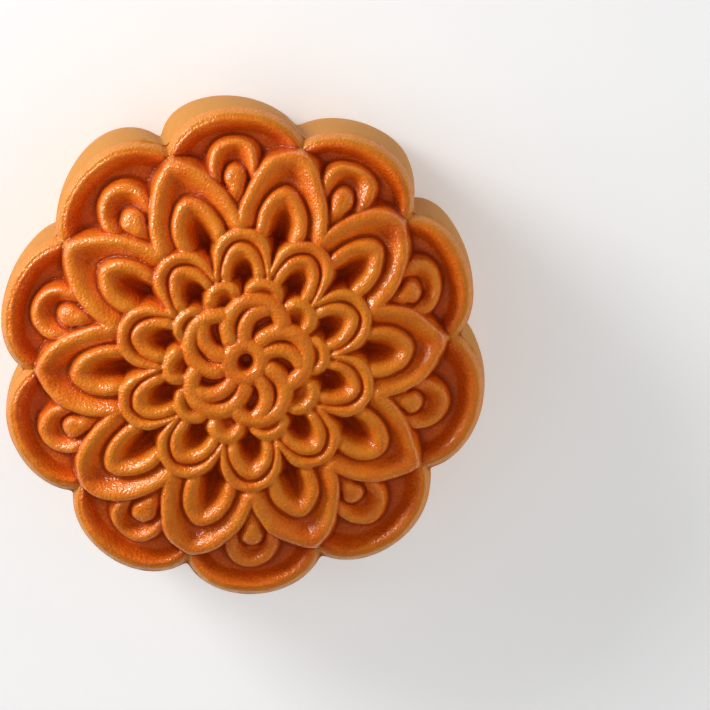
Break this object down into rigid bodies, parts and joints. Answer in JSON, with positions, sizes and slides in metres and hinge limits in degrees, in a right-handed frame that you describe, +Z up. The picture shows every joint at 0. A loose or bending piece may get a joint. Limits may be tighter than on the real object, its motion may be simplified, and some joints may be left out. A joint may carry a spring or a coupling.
{
  "type": "mooncake",
  "caption": "Round scalloped mooncake with a fluted side and a domed, deeply moulded flower on top; whole and uncut, lying flat on its base.",
  "frame": {"origin": "centre of the flat base, at the middle of the cake's extent across and along", "axes": "+Z up through the base to the moulded top, across the cake's thickness; +Y and +X lie in the base"},
  "size_m": [0.0805, 0.0824, 0.0341],
  "materials": {
    "baked_crust": "golden-brown baked pastry with a thin egg glaze on the relief, semi-gloss on the ridges and matt on the side"
  },
  "bodies": {
    "root": {"mooncake": "baked_crust"}
  },
  "joints": []
}
